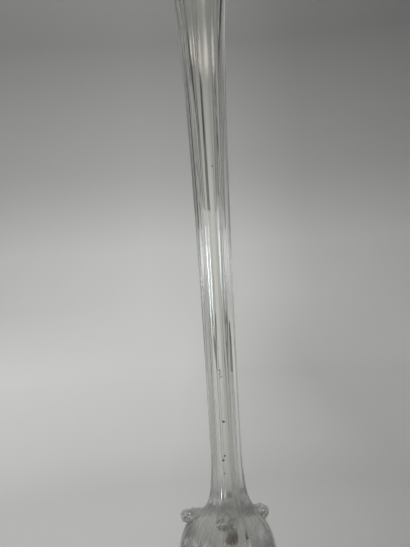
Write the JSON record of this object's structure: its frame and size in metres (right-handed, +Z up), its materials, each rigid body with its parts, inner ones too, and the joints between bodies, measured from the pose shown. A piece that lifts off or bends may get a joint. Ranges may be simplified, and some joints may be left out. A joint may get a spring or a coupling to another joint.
{
  "type": "bud vase",
  "caption": "Tall clear glass bud vase: a panelled, drawn-out stem with a narrow bore and a flared lip, on a bell base with curled scroll straps and a spreading foot.",
  "frame": {"origin": "middle of the standing ring under the foot, on the surface the vase stands on", "axes": "+Z up along the stem, -Y towards the viewer of the picture, +X to that viewer's right"},
  "size_m": [0.08, 0.08, 0.4499],
  "materials": {
    "clear_glass": "clear, fire-polished, with fine draw lines"
  },
  "bodies": {
    "root": {"flute": "clear_glass", "foot": "clear_glass", "scroll_front": "clear_glass", "scroll_right": "clear_glass", "scroll_back": "clear_glass", "scroll_left": "clear_glass"}
  },
  "joints": []
}
